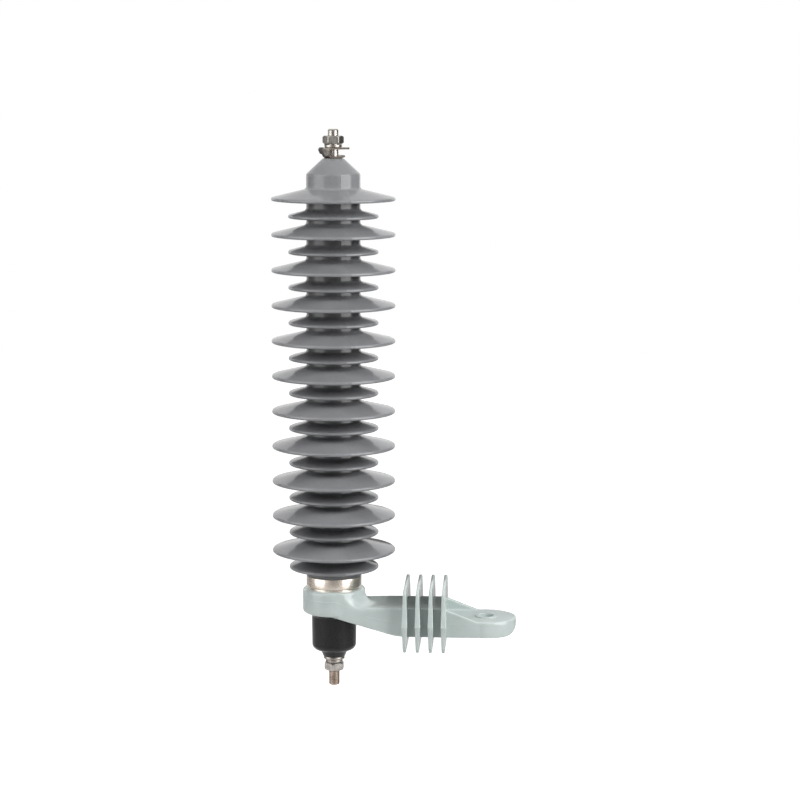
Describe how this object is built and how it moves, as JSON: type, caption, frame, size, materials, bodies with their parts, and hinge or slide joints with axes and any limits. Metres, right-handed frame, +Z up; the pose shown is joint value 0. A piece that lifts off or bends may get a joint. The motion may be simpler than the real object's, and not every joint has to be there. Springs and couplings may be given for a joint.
{
  "type": "distribution surge arrester",
  "caption": "Polymer-housed surge arrester with alternating sheds, a folded wire clamp on top, a finned insulating bracket and a ground-lead disconnector.",
  "frame": {"origin": "centre of the bracket's mounting hole, on the underside of its pad", "axes": "+Z up along the mounting hole and the arrester, +X from the arrester's axis to the mounting hole"},
  "size_m": [0.2262, 0.1134, 0.5164],
  "materials": {
    "silicone_rubber": "satin moulded",
    "moulded_insulator": "glossy moulded thermoset",
    "aluminium_alloy": "turned",
    "stainless_steel": "bright rolled and cut",
    "glass_fibre": "resin-bonded glass fibre",
    "metal_oxide": "sintered",
    "resistor_ceramic": "sintered",
    "black_plastic": "moulded thermoset",
    "brass_insert": "turned"
  },
  "bodies": {
    "root": {"base_electrode": "aluminium_alloy", "base_stud": "stainless_steel", "bracket": "moulded_insulator", "cartridge": "brass_insert", "disconnector_cover": "black_plastic", "disconnector_insert": "brass_insert", "disconnector_lid": "black_plastic", "glass_fibre_tube": "glass_fibre", "grading_resistor": "resistor_ceramic", "ground_flat_washer": "stainless_steel", "ground_nut": "stainless_steel", "ground_spring_washer": "stainless_steel", "ground_stud": "stainless_steel", "housing": "silicone_rubber", "line_nut": "stainless_steel", "line_spring_washer": "stainless_steel", "line_stud": "stainless_steel", "line_wire_clamp": "stainless_steel", "lower_contact_plate": "aluminium_alloy", "stack_springs": "stainless_steel", "top_electrode": "aluminium_alloy", "upper_contact_plate": "aluminium_alloy", "varistor_01": "metal_oxide", "varistor_02": "metal_oxide", "varistor_03": "metal_oxide", "varistor_04": "metal_oxide", "varistor_05": "metal_oxide", "varistor_06": "metal_oxide", "varistor_07": "metal_oxide", "varistor_08": "metal_oxide", "varistor_09": "metal_oxide", "varistor_10": "metal_oxide"}
  },
  "joints": []
}
